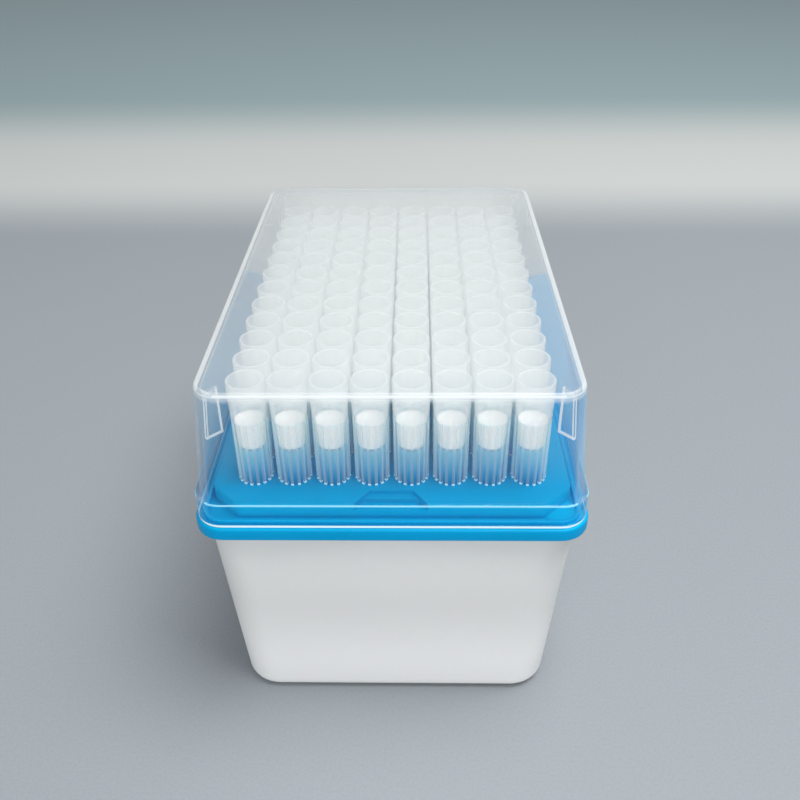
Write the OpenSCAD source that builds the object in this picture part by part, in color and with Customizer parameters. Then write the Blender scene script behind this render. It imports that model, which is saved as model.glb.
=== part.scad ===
// Box of 96 filter pipette tips: an open tub, a rack that caps it, the tips
// standing in the rack with a filter in each collar, and a clear lid.
// Origin: centre of the tub's underside, +Z up, the short side faces -Y.
// A "column" is one row of eight tips across the short side.

/* [Layout] */
// Distance between the centres of neighbouring tips
pitch = 9; // [8.8:0.1:11]

/* [Tips] */
// Overall length of a tip
tip_l = 84; // [66:1:104]
// Height of the collar that stands above the deck
collar_h = 26.2; // [22:0.2:32]
// Outside diameter of the collar at the rim
collar_d = 8.5; // [7.8:0.1:8.6]
// How far the ribs' feet stand in from the rim's outside
foot_in = 0.2; // [0.1:0.05:0.4]
// Wall of the collar at the rim
rim_wall = 0.6; // [0.4:0.05:0.7]
// Wall of the body below the collar
tip_wall = 0.65; // [0.4:0.05:0.7]
// Straight part of the mouth that the pipette's cone enters
mouth_l = 5; // [3:0.5:8]
// Outside diameter at the very end
end_d = 1.5; // [1.2:0.1:2.2]
// Bore at the very end
end_bore = 0.7; // [0.5:0.1:1]
// Number of upright ribs round the collar
rib_count = 16; // [8:2:20]
// Height of the ribs above the deck
rib_h = 16.8; // [12:0.2:18]
// Thickness of a rib
rib_t = 0.6; // [0.4:0.1:0.8]
// Depth of a rib where it stands on the deck
rib_d = 0.6; // [0.4:0.05:0.8]
// Depth of a rib at its top, under the collar
rib_d2 = 0.35; // [0.2:0.05:0.5]

/* [Filters] */
// Height of a filter
filter_h = 6.5; // [4:0.5:8]
// Depth of the filter's top below the rim
filter_drop = 10.2; // [8:0.2:12]
// Gap left between a filter and the bore that holds it
filter_gap = 0.02; // [0.01:0.01:0.05]

/* [Rack] */
// From the outer tips' centres to the deck's long edges
deck_side = 9.4; // [8:0.2:12]
// From the end tips' centres to the deck's short edges
deck_end = 10.4; // [9:0.2:14]
// Thickness of the deck
deck_t = 1.6; // [1.2:0.1:2.4]
// Size of the cut across each corner of the deck
deck_cut = 6.6; // [4:0.2:9]
// Gap round a tip in its hole in the deck
hole_gap = 0.15; // [0.1:0.05:0.3]
// Height of the deck above the flange
shoulder_h = 4; // [3:0.2:7]
// Wall of the shoulder and of the skirt below it
shoulder_t = 1.4; // [1:0.1:2]
// How far the skirt reaches down inside the tub
skirt_h = 6; // [4:0.5:10]
// Thickness of the flange
flange_t = 1.6; // [1.2:0.1:2.4]
// Flange from the deck's long edges to the lip's outer face
flange_side = 3.6; // [3.4:0.1:6]
// Flange from the deck's short edges to the lip's outer face
flange_end = 4.3; // [3.4:0.1:7]
// Height of the lip, from the flange's top down
lip_h = 3.2; // [2.4:0.1:6]
// Wall of the lip
lip_t = 1.4; // [1:0.1:1.6]
// Radius of the lip's upright corners
lip_r = 6.9; // [5:0.1:9]
// Rounding of the lip's outer edges
lip_edge = 0.5; // [0.2:0.1:0.7]
// Height of the curb that centres the lid
curb_h = 1; // [0.6:0.1:1.6]
// Wall of the curb
curb_t = 0.8; // [0.6:0.1:1.2]
// Rounding of the curb's top edges
curb_edge = 0.25; // [0.1:0.05:0.3]
// Thickness of the webs under the deck
web_t = 1; // [0.8:0.1:1.2]
// Depth of the webs under the deck
web_h = 6; // [3:0.5:9]
// Width of the finger notch at the deck's edge
notch_w = 16.6; // [14:0.2:24]
// Width of the finger notch at its back
notch_back = 9.6; // [6:0.2:13]
// Reach of the finger notch into the deck
notch_l = 4.7; // [3:0.1:5]
// Depth of the finger notch's back step
notch_d = 0.9; // [0.5:0.1:1.2]
// Reach of the finger notch's front step
notch_l2 = 2.7; // [1:0.1:2.9]
// Depth of the finger notch's front step
notch_d2 = 1.9; // [1.3:0.1:2.4]

/* [Tub] */
// Wall of the tub
tub_wall = 1.6; // [1.2:0.1:2.2]
// Thickness of the tub's floor
tub_floor = 1.4; // [1.2:0.1:2.4]
// Free height under the tips' ends
tip_clear = 4.6; // [4.6:0.2:12]
// Lean of the tub's long sides, in degrees, in towards the floor
side_lean = 3.74; // [1:0.02:5]
// Lean of the tub's short sides, in degrees, in towards the floor
end_lean = 3.34; // [1:0.02:5]
// Radius of the tub's upright corners
tub_r = 9; // [7:0.5:12]
// Radius of the tub's bottom edge
foot_r = 3; // [2:0.5:6]
// Gap between the tub's rim and the lip round it
tub_gap = 0.15; // [0.1:0.05:0.3]
// Gap between the rack's skirt and the tub's wall round it
skirt_gap = 0.3; // [0.2:0.05:0.8]

/* [Lid] */
// Wall of the lid
lid_wall = 1.2; // [1:0.1:1.6]
// Free height between the tips' rims and the lid
lid_clear = 2.4; // [1.6:0.2:8]
// From the lip's outer face in to the lid's outer face
lid_inset = 0.6; // [0.3:0.1:1]
// Height of the wider band at the lid's foot
band_h = 6.6; // [5:0.2:9]
// How far the band stands out from the wall above it
band_out = 0.85; // [0.4:0.05:1.2]
// Lean of the lid's long sides, in degrees, in towards the top
lid_side_lean = 4.4; // [1:0.1:6]
// Lean of the lid's short sides, in degrees, in towards the top
lid_end_lean = 3.4; // [1:0.1:6]
// Radius of the lid's top edge
lid_edge = 1; // [1:0.1:3]
// Gap between the lid's foot and the curb inside it
lid_gap = 0.15; // [0.1:0.05:0.3]
// Reach of the diagonal plates in the lid's corners
gusset_l = 4; // [3:0.2:6]
// Height of the diagonal plates in the lid's corners
gusset_h = 12; // [6:0.2:14]
// Thickness of the diagonal plates in the lid's corners
gusset_t = 0.9; // [0.7:0.1:1.4]

/* [Hidden] */

across = 8;                         // tips in a column
columns = 12;                       // columns along Y
eps = 0.01;

// heights
deck_z = tub_floor + tip_clear + tip_l - collar_h;    // deck's top
flange_z = deck_z - shoulder_h;                       // flange's top
rim_z = flange_z - flange_t;                          // tub's rim
lid_z = deck_z + collar_h + lid_clear + lid_wall;     // lid's top
step_z = flange_z + band_h;                           // top of the lid's band

// half sizes [x, y]
field = [pitch * (across - 1) / 2, pitch * (columns - 1) / 2];
deck = field + [deck_side, deck_end];
lip = deck + [flange_side, flange_end];
tub_top = lip - [1, 1] * (lip_t + tub_gap);
tub_foot = tub_top - [tan(side_lean), tan(end_lean)] * rim_z;
tub_in = tub_top - [1, 1] * tub_wall;                  // inner face at the rim
tub_in2 = tub_foot - [1, 1] * tub_wall;                // inner face at the floor
skirt_in = tub_in - (tub_in - tub_in2) * skirt_h / (rim_z - tub_floor);
skirt = [for (k = [0, 1]) min(deck[k], skirt_in[k] - skirt_gap)];
band = lip - [1, 1] * lid_inset;
lid_low = band - [1, 1] * band_out;
lid_rise = lid_z - step_z + lid_wall;                  // of the leaning sides
lid_high = lid_low - [tan(lid_side_lean), tan(lid_end_lean)] * lid_rise;
curb = band - [1, 1] * (lid_wall + lid_gap);
band_r = lip_r - lid_inset;
curb_r = band_r - lid_wall - lid_gap;
lid_r = band_r - band_out + 0.6;

// tip radii against height above the deck
bore_top = collar_d / 2 - rim_wall;
foot_r0 = collar_d / 2 - foot_in;             // over the ribs, at the deck
foot_r1 = collar_d / 2 - foot_in / 2;         // over the ribs, under the collar
neck_r = foot_r0 - rib_d;                     // body at the deck
shelf_r = foot_r1 - rib_d2;                   // body under the collar
seat_z = collar_h - filter_drop;              // filter's top
bore_deck = neck_r - tip_wall;                // bore at the deck
// bore radius at height z, for z from the deck up to the straight mouth
function bore_at(z) =
    bore_deck + (bore_top - bore_deck) * z / (collar_h - mouth_l);
// place of tip i in column c
function spot(i, c) =
    [(i - (across - 1) / 2) * pitch, (c - (columns - 1) / 2) * pitch, deck_z];

// corner centres of a rounded rectangle of half size s and corner radius r
function corners(s, r) =
    [for (x = [-1, 1], y = [-1, 1]) [x * (s[0] - r), y * (s[1] - r)]];

// rounded rectangle, half size s, corner radius r
module rounded(s, r) {
    square([2 * s[0] - 2 * r, 2 * s[1]], center = true);
    square([2 * s[0], 2 * s[1] - 2 * r], center = true);
    for (p = corners(s, r)) translate(p) circle(r = r, $fn = 48);
}

// rectangle of half size s with its corners cut at 45 degrees by c
module cut_rect(s, c) {
    polygon([
        [s[0] - c, -s[1]], [s[0], -s[1] + c], [s[0], s[1] - c], [s[0] - c, s[1]],
        [-s[0] + c, s[1]], [-s[0], s[1] - c], [-s[0], -s[1] + c], [-s[0] + c, -s[1]]
    ]);
}

// quarter of a circle of radius e whose corner would be at [x, z], turned by a
function eased(x, z, e, a) = [
    for (t = [0 : 22.5 : 90]) [x, z] + e * ([cos(a + t), sin(a + t)]
        - sqrt(2) * [cos(a + 45), sin(a + 45)])
];

// profile drawn with x outwards and y up, swept round a rounded rectangle
module swept(s, r) {
    for (k = [0 : 3]) rotate([0, 0, 90 * k]) translate([s[k % 2] - r, s[(k + 1) % 2] - r]) {
        rotate_extrude(angle = 90, $fn = 48) translate([r, 0]) children();
        translate([r, 0]) rotate([90, 0, 0]) linear_extrude(2 * (s[(k + 1) % 2] - r))
            children();
    }
}

// wall of the shoulder's thickness inside a rectangle cut as above
module cut_ring(s, c) {
    difference() {
        cut_rect(s, c);
        cut_rect(s - [1, 1] * shoulder_t, c - shoulder_t * (2 - sqrt(2)));
    }
}

// upright disc of radius r whose lower edge is rounded by e
module soft_disc(r, e) {
    rotate_extrude($fn = 32) union() {
        square([r - e, e]);
        intersection() {
            translate([r - e, e]) circle(r = e, $fn = 32);
            translate([r - e - eps, 0]) square([e + eps, e]);
        }
    }
}

// tapered tub, open at neither end: half size low at z0 with a rounded edge,
// half size high at z1
module drafted(low, z0, high, z1, r, e) {
    hull() {
        for (p = corners(low, r)) translate([p[0], p[1], z0]) soft_disc(r, e);
        for (p = corners(high, r))
            translate([p[0], p[1], z1 - eps]) cylinder(r = r, h = eps, $fn = 32);
    }
}

module tub() {
    color("gainsboro") difference() {
        drafted(tub_foot, 0, tub_top, rim_z, tub_r, foot_r);
        drafted(tub_in2, tub_floor, tub_in, rim_z + eps,
                tub_r - tub_wall, foot_r - tub_wall / 2);
    }
}

// one end's finger notch, a trapezoid that runs the given reach into the deck
module notch_shape(grow, reach) {
    slant = (notch_w - notch_back) / 2 / notch_l;
    front = notch_w / 2 + grow + 2 * slant;
    back = notch_w / 2 + grow - reach * slant;
    polygon([
        [-front, -deck[1] - 2], [front, -deck[1] - 2],
        [back, -deck[1] + reach], [-back, -deck[1] + reach]
    ]);
}

module rack_solid() {
    // deck with its webs
    translate([0, 0, deck_z - deck_t]) linear_extrude(deck_t) cut_rect(deck, deck_cut);
    for (i = [1 : across - 1])
        translate([(i - across / 2) * pitch, 0, deck_z - deck_t - web_h / 2 + eps])
            cube([web_t, 2 * skirt[1] - shoulder_t, web_h], center = true);
    for (c = [1 : columns - 1])
        translate([0, (c - columns / 2) * pitch, deck_z - deck_t - web_h / 2 + eps])
            cube([2 * skirt[0] - shoulder_t, web_t, web_h], center = true);
    // shoulder, and the skirt that goes down inside the tub
    translate([0, 0, rim_z]) linear_extrude(deck_z - rim_z) cut_ring(deck, deck_cut);
    translate([0, 0, rim_z - skirt_h]) linear_extrude(skirt_h + eps)
        cut_ring(skirt, deck_cut);
    // flange, its lip, and the curb that centres the lid
    translate([0, 0, rim_z]) linear_extrude(flange_t) difference() {
        rounded(lip - [1, 1] * lip_t / 2, lip_r - lip_t / 2);
        cut_rect(deck - [1, 1] * shoulder_t / 2, deck_cut);
    }
    translate([0, 0, flange_z]) swept(lip, lip_r) polygon(concat(
        [[-lip_t, 0], [-lip_t, -lip_h]],
        eased(0, -lip_h, lip_edge, 270), eased(0, 0, lip_edge, 0)
    ));
    translate([0, 0, flange_z]) swept(curb, curb_r) polygon(concat(
        [[-curb_t, -eps], [0, -eps]], eased(0, curb_h, curb_edge, 0),
        eased(-curb_t, curb_h, curb_edge, 90)
    ));
    // floor under the finger notches
    for (a = [0, 180]) rotate([0, 0, a])
        translate([0, 0, deck_z - notch_d2 - deck_t]) linear_extrude(notch_d2)
            intersection() {
                notch_shape(deck_t, notch_l + shoulder_t / 2);
                cut_rect(deck - [1, 1] * shoulder_t / 2, deck_cut);
            }
}

module rack() {
    color("deepskyblue") difference() {
        rack_solid();
        for (i = [0 : across - 1], c = [0 : columns - 1])
            translate(spot(i, c) - [0, 0, deck_t + 1])
                cylinder(r = neck_r + hole_gap, h = deck_t + 2, $fn = 48);
        for (a = [0, 180]) rotate([0, 0, a]) {
            translate([0, 0, deck_z - notch_d]) linear_extrude(notch_d + 1)
                notch_shape(0, notch_l);
            translate([0, 0, deck_z - notch_d2]) linear_extrude(notch_d2 + 1)
                notch_shape(0, notch_l2);
        }
    }
}

// one tip, its deck plane at z = 0
module tip() {
    mid = -(tip_l - collar_h) * 0.5;
    low = -(tip_l - collar_h);
    mid_r = neck_r * 0.72;
    rotate_extrude($fn = 48) polygon([
        [bore_deck, 0], [bore_at(seat_z - filter_h), seat_z - filter_h],
        [bore_top, collar_h - mouth_l], [bore_top, collar_h],
        [collar_d / 2, collar_h], [foot_r1, rib_h],
        [shelf_r, rib_h - rib_d2 * 2], [neck_r, 0], [mid_r, mid], [end_d / 2, low],
        [end_bore / 2, low], [mid_r - tip_wall, mid]
    ]);
    for (k = [0 : rib_count - 1]) rotate([90, 0, (k + 0.5) * 360 / rib_count])
        translate([0, 0, -rib_t / 2]) linear_extrude(rib_t) polygon([
            [(bore_deck + neck_r) / 2, 0], [foot_r0, 0], [foot_r1 - 0.02, rib_h],
            [(bore_at(rib_h) + shelf_r) / 2, rib_h]
        ]);
}

module tips_column(c) {
    color("azure", 0.6) for (i = [0 : across - 1]) translate(spot(i, c)) tip();
}

module filters_column(c) {
    z0 = seat_z - filter_h;
    color("white") for (i = [0 : across - 1]) translate(spot(i, c) + [0, 0, z0])
        cylinder(r1 = bore_at(z0) - filter_gap, r2 = bore_at(seat_z) - filter_gap,
                 h = filter_h, $fn = 48);
}

module lid() {
    wall = [1, 1] * lid_wall;
    color("whitesmoke", 0.4) {
        difference() {
            union() {
                translate([0, 0, lid_z]) mirror([0, 0, 1])
                    drafted(lid_high, 0, lid_low, lid_rise, lid_r, lid_edge);
                translate([0, 0, flange_z]) linear_extrude(band_h)
                    rounded(band, band_r);
            }
            translate([0, 0, lid_z - lid_wall]) mirror([0, 0, 1])
                drafted(lid_high - wall, 0, lid_low - wall, lid_rise,
                        lid_r - lid_wall, lid_edge - lid_wall / 2);
            translate([0, 0, flange_z - 1]) linear_extrude(band_h - lid_wall + 1)
                rounded(band - wall, band_r - lid_wall);
        }
        gussets();
    }
}

// diagonal plates that hang from the lid's top in its four corners
module gussets() {
    top = lid_z - lid_wall / 2;
    out = (lid_r - lid_wall / 2) * sqrt(0.5);
    at = lid_high - [1, 1] * lid_r + [1, 1] * out;
    for (x = [-1, 1], y = [-1, 1])
        translate([x * at[0], y * at[1], top - gusset_h])
            rotate([0, 0, atan2(-y, -x)])
                translate([0, -gusset_t / 2, 0]) cube([gusset_l, gusset_t, gusset_h]);
}

tub();  // base
rack();
tips_column(0);  // tips_column_01
tips_column(1);  // tips_column_02
tips_column(2);  // tips_column_03
tips_column(3);  // tips_column_04
tips_column(4);  // tips_column_05
tips_column(5);  // tips_column_06
tips_column(6);  // tips_column_07
tips_column(7);  // tips_column_08
tips_column(8);  // tips_column_09
tips_column(9);  // tips_column_10
tips_column(10);  // tips_column_11
tips_column(11);  // tips_column_12
filters_column(0);  // filters_column_01
filters_column(1);  // filters_column_02
filters_column(2);  // filters_column_03
filters_column(3);  // filters_column_04
filters_column(4);  // filters_column_05
filters_column(5);  // filters_column_06
filters_column(6);  // filters_column_07
filters_column(7);  // filters_column_08
filters_column(8);  // filters_column_09
filters_column(9);  // filters_column_10
filters_column(10);  // filters_column_11
filters_column(11);  // filters_column_12
lid();
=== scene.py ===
"""Looks of a lidded box of filter pipette tips, modelled round its packed frame.

The tub, the rack, the tips, the filters and the lid are each built by an
operator of their own, at the sizes of the frame's nodes, and finished with
procedural plastics. Lengths are metres.
"""

import math
import random

import bmesh
import bpy
from mathutils import Matrix, Vector


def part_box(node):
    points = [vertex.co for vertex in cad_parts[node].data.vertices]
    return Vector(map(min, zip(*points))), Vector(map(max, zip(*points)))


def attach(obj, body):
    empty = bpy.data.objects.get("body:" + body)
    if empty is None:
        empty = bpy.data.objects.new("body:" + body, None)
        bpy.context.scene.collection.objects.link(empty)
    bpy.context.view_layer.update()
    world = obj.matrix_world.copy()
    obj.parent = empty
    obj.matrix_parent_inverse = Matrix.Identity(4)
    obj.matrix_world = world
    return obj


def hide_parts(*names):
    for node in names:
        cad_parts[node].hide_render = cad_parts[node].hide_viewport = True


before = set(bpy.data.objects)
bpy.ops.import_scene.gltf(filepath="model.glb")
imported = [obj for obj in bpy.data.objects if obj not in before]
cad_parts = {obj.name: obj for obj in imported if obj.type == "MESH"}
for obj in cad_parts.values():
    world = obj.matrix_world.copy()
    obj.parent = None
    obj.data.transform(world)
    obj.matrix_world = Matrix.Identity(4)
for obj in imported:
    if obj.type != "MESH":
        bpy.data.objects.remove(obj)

bl_info = {
    "name": "Pipette Tip Box",
    "version": (1, 0, 0),
    "blender": (4, 5, 0),
    "location": "View3D > Sidebar > Tip Box",
    "description": "Models a lidded box of filter pipette tips round its packed frame",
    "category": "Add Mesh",
}

MM = 0.001
NEAR = 0.02 * MM  # two places closer than this are one
DOUBLE = 0.001 * MM  # vertices closer than this are merged
PAST = MM  # how far a cutter reaches past what it cuts
OVERLAP = 0.3 * MM  # how far a part reaches into the one it joins
ROUND, CUT = 10, 1  # segments of an upright corner, rounded or cut straight
CUT_IN = 0.59  # a cut is shorter inside a wall, by this share of the wall
DIAGONAL = math.sqrt(0.5)  # how far a diagonal of 1 reaches along each axis

# Radius and segments of the small rounded edges
TUB_RIM = (0.25 * MM, 2)
LIP_TOP, LIP_FOOT = (0.5 * MM, 4), (0.35 * MM, 3)
CURB_TOP = (0.2 * MM, 2)
DECK_CORNER, DECK_RIM = (0.8 * MM, 3), (0.45 * MM, 3)
LID_FOOT, LID_STEP = (0.3 * MM, 3), (0.45 * MM, 3)
PLATE_RIM = (0.12 * MM, 2)

# The tips' collars
SHELF_DROP = 0.7 * MM  # from the collar's lower edge down to its shelf
RIB_RISE = 0.6 * MM  # how far a rib's top reaches up past the shelf
RIB_PROUD = 0.12 * MM  # a face further out than this is on a rib
INSIDE = 0.1 * MM  # how far within its zone the middle of a face lies
SEED = 7  # of the tips' random turns

tub_low, tub_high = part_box("base")
rack_painted_light, rack_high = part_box("rack")
lid_low, lid_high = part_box("lid")
tips_low, tips_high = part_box("tips_column_01")
filters_low, filters_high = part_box("filters_column_01")
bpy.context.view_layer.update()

COLUMNS = sorted(name[-2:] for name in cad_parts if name.startswith("tips_"))
ACROSS = 8
RIM_R = (tips_high.y - tips_low.y) / 2
FILTER_R = (filters_high.y - filters_low.y) / 2
PITCH = (tips_high.x - tips_low.x - 2 * RIM_R) / (ACROSS - 1)
DECK_Z = rack_high.z


def spot(across, column):
    """Centre of a place, at the height of the deck."""
    return Vector((
        (across - (ACROSS - 1) / 2) * PITCH,
        (column - (len(COLUMNS) - 1) / 2) * PITCH,
        DECK_Z,
    ))


# Settings


def number(name, description, value, **more):
    """A number property."""
    return bpy.props.FloatProperty(
        name=name, description=description, default=value, **more
    )


def length(name, description, millimetres):
    """A length property, with its default given in millimetres."""
    default = millimetres * MM
    return number(name, description, default, min=0, unit="LENGTH", precision=5)


def angle(name, description, degrees):
    """An angle property, with its default given in degrees."""
    return number(name, description, math.radians(degrees), subtype="ANGLE")


def share(name, description, value):
    """A number from 0 to 1."""
    return number(name, description, value, subtype="FACTOR", min=0, max=1)


def colour(name, description, value):
    """A colour property."""
    return bpy.props.FloatVectorProperty(
        name=name, description=description, default=value,
        subtype="COLOR", size=3, min=0, max=1,
    )


class TubSettings(bpy.types.PropertyGroup):
    """The white tub."""

    wall: length("Wall", "Thickness of the tub's wall", 1.6)
    side_draft: length("Side Draft", "How far the long sides lean in below", 3.8)
    end_draft: length("End Draft", "How far the short sides lean in below", 3.4)
    corner: length("Corner", "Radius of the upright corners", 9)
    foot: length("Foot", "Radius of the bottom edge", 3)
    white: colour("White", "Colour of the tub", (0.725, 0.73, 0.72))
    glow: share("Glow", "Share of the light that comes through the wall", 0.14)


class RackSettings(bpy.types.PropertyGroup):
    """The blue rack."""

    deck_side: length("Deck Side", "From the outer tips' centres to a long edge", 9.4)
    deck_end: length("Deck End", "From the end tips' centres to a short edge", 10.4)
    deck_cut: length("Deck Cut", "Cut across each corner of the deck", 6.6)
    plate: length("Plate", "Thickness of the deck and of the flange", 1.6)
    wall: length("Wall", "Wall of the shoulder, the skirt and the lip", 1.4)
    shoulder: length("Shoulder", "Height of the deck above the flange", 4)
    lip: length("Lip", "Height of the lip", 3.2)
    corner: length("Corner", "Radius of the lip's upright corners", 6.9)
    curb: length("Curb", "Height of the curb that centres the lid", 1)
    curb_in: length("Curb In", "From the lip's outer face in to the curb", 1.95)
    curb_wall: length("Curb Wall", "Wall of the curb", 0.8)
    skirt_side: length("Skirt Side", "From the deck's long edges in to the skirt", 0.25)
    hole_r: length("Hole Radius", "Radius of a tip's hole", 3.6)
    web: length("Web", "Thickness of the webs under the deck", 1)
    web_depth: length("Web Depth", "Depth of the webs under the deck", 6)
    notch_w: length("Notch Width", "Width of a notch at the deck's edge", 16.6)
    notch_back: length("Notch Back", "Width of a notch at its back", 9.6)
    notch_l: length("Notch Reach", "Reach of a notch into the deck", 4.7)
    notch_front: length("Notch Front", "Reach of a notch's deeper step", 2.7)
    notch_d: length("Notch Depth", "Depth of a notch's back step", 0.9)
    notch_d2: length("Notch Step", "Depth of a notch's front step", 1.9)
    blue: colour("Blue", "Colour of the rack", (0.0, 0.405, 0.72))
    # painted light: a brighter blue round the deck's foot that lifts the shade under
    # the shoulder and the lid
    painted_light_blue: colour("Low Blue", "Colour round the deck's foot", (0.0, 0.54, 0.86))
    glow: share("Glow", "Share of the light that comes through the blue", 0.3)


class TipSettings(bpy.types.PropertyGroup):
    """The clear tips."""

    rim_wall: length("Rim Wall", "Wall of the collar at the rim", 0.6)
    wall: length("Wall", "Wall of the body below the collar", 0.65)
    mouth: length("Mouth", "Straight part of the mouth", 5)
    neck_r: length("Neck Radius", "Radius of the body at the deck", 3.45)
    shelf_r: length("Shelf Radius", "Radius of the body under the collar", 3.8)
    collar_r: length("Collar Radius", "Radius of the collar's lower edge", 4.15)
    foot_r: length("Foot Radius", "Radius over the ribs at the deck", 4.05)
    rib_top_r: length("Rib Radius", "Radius over the ribs at their top", 4.13)
    rib_h: length("Rib Height", "Height of the ribs above the deck", 16.8)
    rib_t: length("Rib Thickness", "Thickness of a rib", 0.56)
    rib_count: bpy.props.IntProperty(
        name="Ribs", description="Number of ribs round the collar", default=16, min=4
    )
    taper: share("Taper", "Radius halfway down, as a share of the neck's", 0.72)
    end_r: length("End Radius", "Radius at the very end", 0.75)
    end_bore: length("End Bore", "Bore radius at the very end", 0.35)
    tint: colour("Tint", "Colour of its haze", (0.96, 0.98, 0.98))
    # Dot is also where the body and the ribs get a ring; below it each rib's foot is a
    # painted highlight, opaque cyan-white
    dot: length("Dot", "Height of a rib's bright foot", 0.5)
    # painted light: the body below the deck is milky and tinted Blue, painted blue
    # light from the rack that lifts the shade inside the hole
    neck: length("Neck", "Length of the blue body below the deck", 7)
    blue: colour("Blue", "Colour of the body below the deck", (0.03, 0.62, 1.0))
    haze: share("Haze", "How milky a wall is", 0.03)
    rim_haze: share("Rim Haze", "How milky the rim is", 0.38)
    collar_haze: share("Collar Haze", "How milky the collar is", 0.36)
    rib_haze: share("Rib Haze", "How milky a rib is", 0.34)
    rib_tint: colour("Rib Tint", "Colour of a rib's haze", (0.80, 0.97, 1.0))
    # painted light: the wall between the ribs is made milky in blues, painted blue
    # light from the rack that also lifts the shade under the filters
    low_painted_light: share("Low Haze", "How milky the wall between the ribs is", 0.5)
    low_painted_blue: colour("Low Tint", "Colour of that wall's haze", (0.48, 0.90, 1.0))
    deep_painted_blue: colour("Deep Tint", "Colour of its haze at the deck", (0.02, 0.56, 0.88))
    # painted highlight: colour of the glint on the ribs' feet
    foot_glint_tint: colour("Foot Tint", "Colour of the ribs' bright feet", (0.72, 1.0, 1.0))


class FilterSettings(bpy.types.PropertyGroup):
    """The white filters."""

    draft: length("Draft", "How much narrower a filter is at its foot", 0.26)
    edge: length("Edge", "Radius of a filter's edges", 0.25)
    white: colour("White", "Colour of the filters", (0.91, 0.885, 0.865))


class LidSettings(bpy.types.PropertyGroup):
    """The clear lid."""

    wall: length("Wall", "Thickness of the lid", 1.2)
    band: length("Band", "Height of the wider band at the foot", 6.6)
    # painted highlight: the foot strip is opaque cyan-white, standing in for the light
    # that the lid's foot edge catches
    foot: length("Foot", "Height of the bright strip at the very foot", 0.8)
    band_out: length("Band Out", "How far the band stands out", 0.92)
    corner: length("Corner", "Radius of the upright corners", 6.3)
    side_draft: length("Side Draft", "How far the long sides lean in above", 2.11)
    end_draft: length("End Draft", "How far the short sides lean in above", 1.62)
    edge: length("Edge", "Radius of the top edge", 1)
    plate_l: length("Plate Reach", "Reach of the diagonal corner plates", 4)
    plate_h: length("Plate Height", "Height of the diagonal corner plates", 12)
    plate_t: length("Plate Thickness", "Thickness of the corner plates", 0.9)
    # painted highlight: each corner plate's root, lower edge and free edge, and the
    # lower half of the top's rounded edge, are milky bright lines
    plate_root: length("Plate Root", "Reach of a corner plate's bright root", 1.35)
    tint: colour("Tint", "Colour of its haze", (0.95, 0.975, 0.975))
    # painted highlight: colour of the bright foot strip
    foot_glint_tint: colour("Foot Tint", "Colour of the bright foot", (0.82, 1.0, 1.0))
    haze: share("Haze", "How milky a side wall is", 0.002)
    # painted light: the band's haze takes the rack's blue, painted blue light from
    # behind it
    band_haze: share("Band Haze", "How hazy the band is", 0.08)
    band_painted_blue: colour("Band Tint", "Colour of the band's haze", (0.0, 0.52, 0.90))
    side_haze: share("Side Haze", "How milky the long sides are", 0.20)
    corner_haze: share("Corner Haze", "How milky a corner's wall is", 0.16)
    # painted highlight: a milky band on the walls just below the top's rounded edge
    brow_highlight: share("Brow Haze", "How milky the walls are just below the top", 0.30)
    front_haze: share("Front Haze", "How milky the walls are above the deck", 0.025)
    # painted highlight: the rounded step is drawn as a light blue-white line
    step_glint_tint: colour("Ledge Tint", "Colour of the lid's step", (0.36, 0.84, 1.0))
    top_haze: share("Top Haze", "How milky the top is along its long edges", 0.16)
    # painted sheen: the middle of the top is made misty, standing in for the soft light
    # it reflects
    top_sheen: share("Top Mist", "How milky the middle of the top is", 0.25)
    rim_haze: share("Rim Haze", "How milky the top is above the long walls", 0.62)
    # painted highlight: the top's rounded edge is made milky, more so above the long
    # walls
    bend_highlight: share("Bend Haze", "How milky the top's rounded edge is", 0.39)
    long_bend_highlight: share("Long Bend Haze", "How milky it is on the long sides", 0.8)
    top_tint: colour("Top Tint", "Colour of the top's haze", (0.935, 0.935, 0.91))


class StageSettings(bpy.types.PropertyGroup):
    """The floor, the lights and the camera."""

    floor: colour("Floor", "Colour of the floor", (0.256, 0.277, 0.297))
    # painted light: a paler band behind the box is a painted pool of light; beyond it
    # the floor is bluer and darker than the band, painted falloff
    floor_light_pool: colour("Floor Band", "Colour of the floor behind", (0.53, 0.545, 0.53))
    floor_far_falloff: colour("Far Floor", "Colour of the floor far away", (0.27, 0.355, 0.37))
    sky: colour("Sky", "Colour of the light all round", (0.86, 0.90, 0.93))
    sky_strength: number("Sky Strength", "Strength of the light all round", 0.52)
    camera_place: bpy.props.FloatVectorProperty(
        name="Camera Place", description="Where the camera stands", size=3,
        default=(0.00554, -0.20441, 0.18715), subtype="TRANSLATION",
    )
    camera_tilt: angle("Camera Tilt", "How far the camera looks down", 33.5)
    camera_turn: angle("Camera Turn", "How far the camera turns to the left", 1.287)
    camera_roll: angle("Camera Roll", "How far the camera leans", -0.699)
    lens: number("Lens", "Focal length on a 36 mm sensor", 38.234)


# Modelling


def deselect():
    """Leaves nothing selected, so that the next operator acts on one piece."""
    bpy.ops.object.select_all(action="DESELECT")


def choose(piece):
    """Selects one piece alone and makes it the active one."""
    deselect()
    piece.select_set(True)
    bpy.context.view_layer.objects.active = piece


def pick(kind, test, within=False):
    """In edit mode, selects the parts that pass a test, of all or of those selected."""
    data = bpy.context.object.data
    mesh = bmesh.from_edit_mesh(data)
    parts = {"VERT": mesh.verts, "EDGE": mesh.edges, "FACE": mesh.faces}[kind]
    chosen = [p for p in parts if (p.select or not within) and test(p)]
    bpy.ops.mesh.select_mode(type=kind)
    bpy.ops.mesh.select_all(action="DESELECT")
    for part in chosen:
        part.select_set(True)
    mesh.select_flush_mode()
    bmesh.update_edit_mesh(data)


def points(part):
    """The places of a part's vertices."""
    return [v.co for v in part.verts] if hasattr(part, "verts") else [part.co]


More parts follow.
